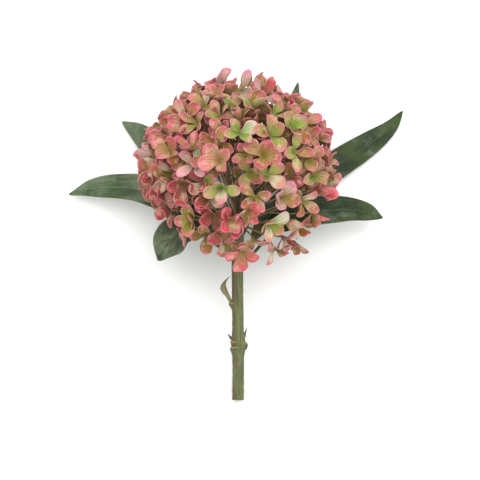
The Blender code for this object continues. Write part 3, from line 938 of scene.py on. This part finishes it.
tree.links.new(hue, result["Colour"])
raised = maths(tree, "MULTIPLY_ADD", grown_noise(tree, 900, 3), 0.5, vein)
tree.links.new(raised, result["Height"])


def sepal_material(name, rim_start, heart_end, vein_strength):
    material, tree, shader = new_material(name, 0.45)
    pattern = add_node(tree, "ShaderNodeGroup", {
        "Along": read_mark(tree, "along"), "Across": read_mark(tree, "across"),
        "Heart": read_mark(tree, "heart", "Color"), "Body": read_mark(tree, "body", "Color"),
        "Rim": read_mark(tree, "rim", "Color"), "Rim Start": rim_start, "Heart End": heart_end,
        "Vein Strength": vein_strength}, node_tree=sepal_group).outputs
    tree.links.new(pattern["Colour"], shader.inputs["Base Color"])
    shader.inputs["Sheen Weight"].default_value = 0.05
    shader.inputs["Specular IOR Level"].default_value = 0.42
    add_relief(tree, shader, pattern["Height"], 0.00018)
    return material


sepal_finishes = {
    "sepal_pink": sepal_material("sepal_pink", 0.48, 0.66, 0.60),
    "sepal_rose": sepal_material("sepal_rose", 0.55, 0.70, 0.55),
    "sepal_olive": sepal_material("sepal_olive", 0.58, 0.76, 0.60),
    "sepal_green": sepal_material("sepal_green", 0.58, 0.78, 0.50),
}


def own_walls(floret):
    """Inward normals of the flat walls, through the boss, midway to each neighbour's stalk."""
    return [(floret.direction - other.direction).normalized() for other in florets
            if other is not floret and floret.direction.dot(other.direction) > neighbour_cosine]


def free_share(spoke, floret, walls):
    """How much of a spoke from the floret's centre lies in the floret's own space."""
    share = 1.0
    for inward in walls:
        step = spoke.dot(inward)
        room = (floret.centre - boss).dot(inward)
        if room + step < 0:
            share = min(share, room / -step)
    return share


def spoon_half(t, width):
    """Half a sepal's width: a narrow claw, widest past the middle, with a round tip."""
    if t > widest:
        return width / 2 * sqrt(max(0, 1 - ((t - widest) / (1 - widest)) ** 2))
    spread = t / widest
    return width / 2 * (claw_share + (1 - claw_share) * spread * spread * (3 - 2 * spread))


def sepal_points(reach, width, rise, bend, cup, twist, phase):
    """A sepal's points over its own claw: +X to the tip, +Y across, +Z out of the floret."""
    points = []
    for row in range(sepal_rows):
        t = sin(pi / 2 * row / (sepal_rows - 1)) ** 1.15
        slope = rise + bend * t
        x = reach * (sin(slope) - sin(rise)) / bend
        z = reach * (cos(rise) - cos(slope)) / bend
        half = max(spoon_half(t, width), 0.00008) if row < sepal_rows - 1 else 0.0001
        for column in range(sepal_columns):
            s = 2 * column / (sepal_columns - 1) - 1
            out = half * s
            ripple = edge_ripple * s * s * sin(9 * t + phase + (2 if s > 0 else 0))
            lift = cup * half * s * s + ripple
            turn = twist * t
            y = out * cos(turn) - lift * sin(turn)
            up = out * sin(turn) + lift * cos(turn)
            points.append(Vector((x - up * sin(slope), y, z + up * cos(slope))))
    return points


def add_sepal(bm, points, layers, colours):
    verts = [bm.verts.new(point) for point in points]
    for index, vert in enumerate(verts):
        row, column = divmod(index, sepal_columns)
        vert[layers["along"]] = sin(pi / 2 * row / (sepal_rows - 1))
        vert[layers["across"]] = 2 * column / (sepal_columns - 1) - 1
        for name, colour in zip(("heart", "body", "rim"), colours):
            vert[layers[name]] = colour
    for row in range(sepal_rows - 1):
        for column in range(sepal_columns - 1):
            at = row * sepal_columns + column
            bm.faces.new((verts[at], verts[at + sepal_columns], verts[at + sepal_columns + 1],
                          verts[at + 1]))


def tinted(colour, rolls):
    """A colour from the chart, a little lighter or darker from sepal to sepal."""
    shade = 1 + rolls.uniform(*shade_range)
    warmth = rolls.uniform(*warmth_range)
    red, green, blue, _ = srgb(*colour)
    return (red * shade * (1 + warmth), green * shade, blue * shade * (1 - warmth), 1)


for number, (slot, cluster) in enumerate(clusters, 1):
    rolls = random.Random(700 + number)
    shapes = random.Random(900 + number)
    bm = bmesh.new()
    layers = {name: bm.verts.layers.float.new(name) for name in ("along", "across")}
    layers.update({name: bm.verts.layers.float_color.new(name) for name in ("heart", "body", "rim")})
    for floret in cluster:
        walls = own_walls(floret)
        over = max(0, oversize(floret))
        big = floret.size >= big_size
        wild = big_lean if big else outer_lean if floret.outer else inner_lean
        wild += edge_lean * floret.edge_on
        fullness = big_fullness if big else shapes.uniform(*fullness_range)
        lean = Vector([rolls.uniform(-wild, wild) for _ in range(3)])
        turn = to_eye.rotation_difference((floret.facing + lean).normalized()).to_matrix()
        middle = seat_of(floret)
        for quarter in range(4):
            angle = radians(floret.spin + 90 * quarter) + rolls.uniform(*turn_range)
            reach = sepal_length * floret.size / 100 * rolls.uniform(*reach_range)
            width = sepal_width * fullness * floret.size / 100 * rolls.uniform(*width_range)
            spoke = turn @ Vector((cos(angle), sin(angle), 0)) * reach
            crowd = 1 - free_share(spoke, floret, walls)
            rise = radians(rolls.uniform(*rise_range) + 6 * floret.edge_on)
            rise += crowd * radians(20 - 14 * over)
            bend = radians(rolls.uniform(*bend_range)) + crowd * radians(24 - 16 * over)
            whitened = quarter == 0 and floret.centre in whitened_centres
            if whitened:
                width = sepal_width * 1.1
                rise = radians(24)
                bend = radians(-14)
            bend = bend if abs(bend) > least_bend else least_bend
            local = sepal_points(reach, width, rise, bend, rolls.uniform(*cup_range),
                                 rolls.uniform(*twist_range), rolls.uniform(0, 6))
            around = Matrix.Rotation(angle, 3, "Z")
            over_claw = Vector((0, 0, overlap_lift if quarter % 2 else 0.0))
            points = [pressed(middle + turn @ (around @ point + over_claw)) for point in local]
            tone = floret.tone
            if rolls.random() < stray_share:
                tone = rolls.choice(fill_tones)
            if whitened:
                tone = "white"
            heart, body, rim = [tinted(colour, rolls) for colour in tones[tone]]
            blush = rolls.uniform(*blush_range)
            toward = rim if blush > 0 else heart
            body = [own * (1 - abs(blush)) + other * abs(blush) for own, other in zip(body, toward)]
            if rolls.random() < faded_share:
                body = tinted(faded, rolls)
            add_sepal(bm, points, layers, (heart, body, rim))
    piece = place_piece(f"sepals_{number:02d}", bm, sepal_finishes[slot], slot,
                        f"floret_cluster_{number:02d}")
    thicken = piece.modifiers.new("thickness", "SOLIDIFY")
    thicken.thickness = sepal_thickness
    thicken.offset = 0


# --- Table, light and camera --------------------------------------------------------------------
# The stem lies on a wide, plain, nearly white table under large soft lamps. The camera looks down
# on it, square to the stem, through a long lens.

table_half = 3
lens_mm = 300
film_mm = 36
view_width = 0.360
view_centre = Vector((0.0015, 0.120, 0))
lamp_aim = Vector((0, 0, 0.05))

bm = bmesh.new()
bmesh.ops.create_grid(bm, x_segments=1, y_segments=1, size=table_half)
floor_mesh = bpy.data.meshes.new("table")
bm.to_mesh(floor_mesh)
bm.free()
floor = bpy.data.objects.new("table", floor_mesh)
bpy.context.scene.collection.objects.link(floor)
table_finish, tree, shader = new_material("table", 0.9)
faint = grown_noise(tree, 3, 2)
tree.links.new(blend_colours(tree, faint, (0.95, 0.95, 0.95, 1), (0.97, 0.97, 0.965, 1)),
               shader.inputs["Base Color"])
shader.inputs["Specular IOR Level"].default_value = 0.1
floor_mesh.materials.append(table_finish)


def soft_lamp(name, place, size, power):
    lamp = bpy.data.lights.new(name, "AREA")
    lamp.size = size
    lamp.energy = power
    holder = bpy.data.objects.new(name, lamp)
    holder.location = place
    aim = lamp_aim - Vector(place)
    holder.rotation_euler = aim.to_track_quat("-Z", "Y").to_euler()
    bpy.context.scene.collection.objects.link(holder)


soft_lamp("key", (-0.3, 0.3, 1.6), 2.3, 26)
soft_lamp("fill", (1.0, 0.0, 1.4), 2.0, 13)
soft_lamp("front", (0.0, -1.3, 1.1), 1.6, 4)

world = bpy.data.worlds.new("studio")
world.use_nodes = True
backdrop = world.node_tree.nodes["Background"]
backdrop.inputs["Color"].default_value = (1, 1, 1, 1)
backdrop.inputs["Strength"].default_value = 0.76
bpy.context.scene.world = world
bpy.context.scene.view_settings.view_transform = "Standard"

camera_data = bpy.data.cameras.new("camera")
camera_data.lens = lens_mm
camera_data.sensor_width = film_mm
camera = bpy.data.objects.new("camera", camera_data)
distance = view_width * lens_mm / film_mm
camera.matrix_world = lie @ Matrix.Translation(view_centre + to_eye * distance)
camera_data.clip_end = 20
bpy.context.scene.collection.objects.link(camera)
bpy.context.scene.camera = camera
